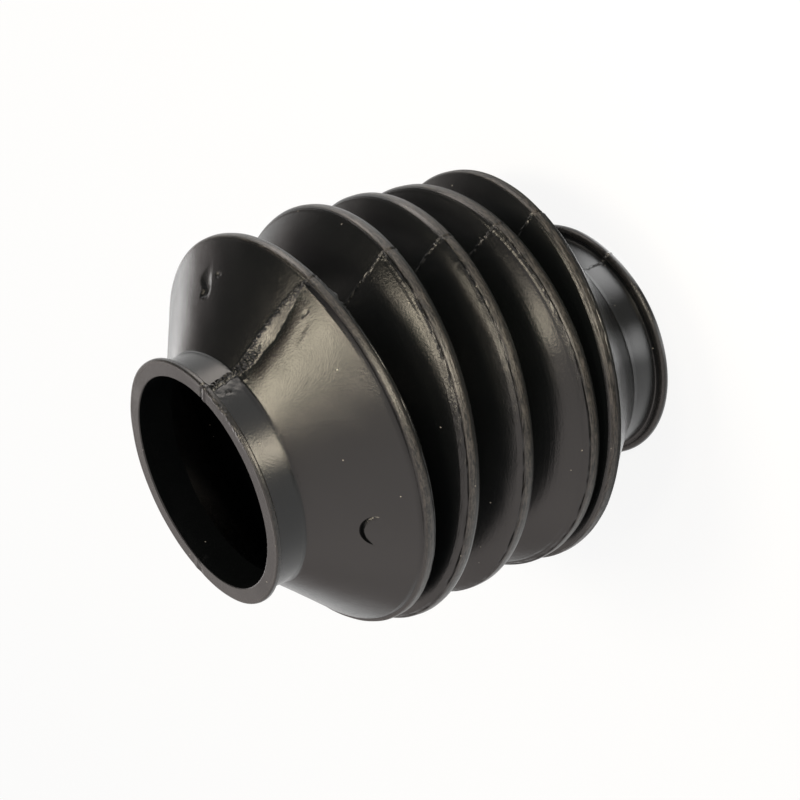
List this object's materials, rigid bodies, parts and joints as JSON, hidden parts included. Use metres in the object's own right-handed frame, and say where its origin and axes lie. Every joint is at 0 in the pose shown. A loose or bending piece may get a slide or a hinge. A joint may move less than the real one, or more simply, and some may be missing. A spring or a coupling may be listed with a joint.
{
  "type": "rubber bellows boot",
  "caption": "Moulded rubber bellows boot with deep folds and a lipped clip cuff at each end, for sealing a shaft or joint.",
  "frame": {"origin": "middle of the rear lip's face, where the rear bore opens and the boot stands", "axes": "+Z runs from the rear cuff to the front cuff; the mould's parting line runs down the +X and -X sides"},
  "size_m": [0.0989, 0.1, 0.1075],
  "materials": {
    "rubber": "moulded black rubber, satin, faintly brown in the highlights"
  },
  "bodies": {
    "root": {"bellows_boot": "rubber"}
  },
  "joints": []
}
